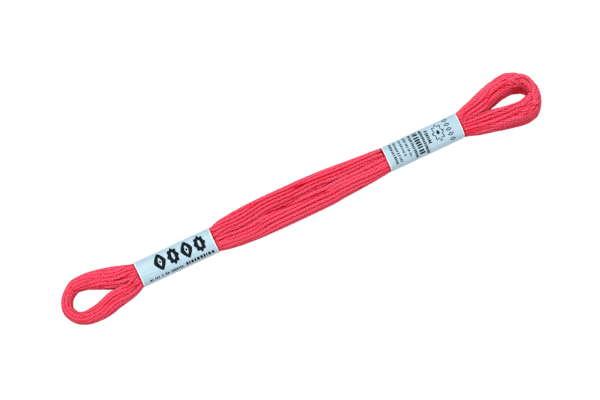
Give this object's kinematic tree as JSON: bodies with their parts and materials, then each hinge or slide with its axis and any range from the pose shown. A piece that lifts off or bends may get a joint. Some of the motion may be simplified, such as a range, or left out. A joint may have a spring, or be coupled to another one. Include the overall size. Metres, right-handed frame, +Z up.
{
  "type": "skein of embroidery floss",
  "caption": "Pull skein of stranded cotton floss lying flat: one long ring of wound thread with an open eye at each end, held by paper bands.",
  "frame": {"origin": "on the surface that the skein lies on, under the middle of its length and width", "axes": "+X along the skein towards the eye that leans, +Y across it towards the side with the paper seams, +Z up from the surface"},
  "size_m": [0.16, 0.0167, 0.0115],
  "materials": {
    "cotton_floss": "mercerised six-strand cotton, coral pink, with a soft sheen",
    "band_paper": "smooth coated label paper, pale blue, printed in near-black"
  },
  "bodies": {
    "root": {"floss_skein": "cotton_floss", "left_paper_band": "band_paper", "right_paper_band": "band_paper"}
  },
  "joints": []
}
